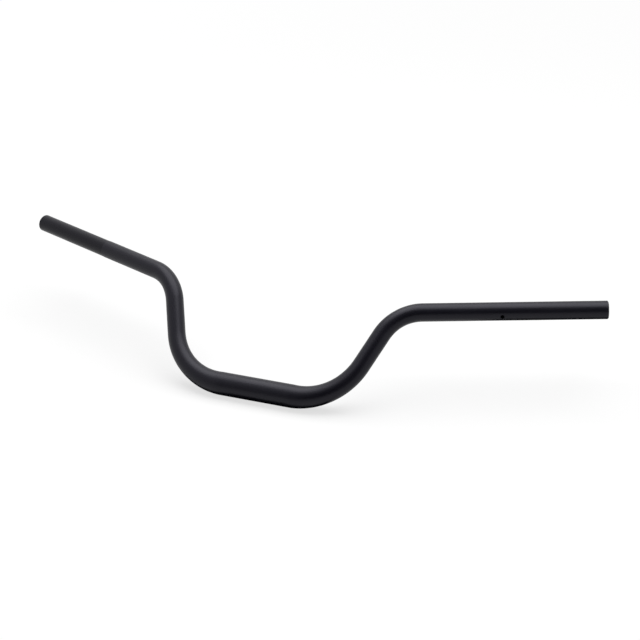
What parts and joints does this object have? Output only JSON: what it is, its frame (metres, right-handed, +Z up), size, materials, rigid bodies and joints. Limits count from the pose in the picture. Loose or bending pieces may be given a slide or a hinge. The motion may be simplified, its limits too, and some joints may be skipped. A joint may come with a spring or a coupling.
{
  "type": "tapered handlebar",
  "caption": "Bent one-piece motorbike handlebar tube, thick at the clamp zone and tapering through its rise bends to thin swept-back grips with open ends.",
  "frame": {"origin": "middle of the clamp zone, on the tube's axis", "axes": "+X along the clamp zone to the rider's left, +Y to the rear, towards the rider, +Z up with the grips level"},
  "size_m": [0.779, 0.2038, 0.113],
  "materials": {
    "anodised_tube": "satin black anodised"
  },
  "bodies": {
    "root": {"handlebar": "anodised_tube"}
  },
  "joints": []
}
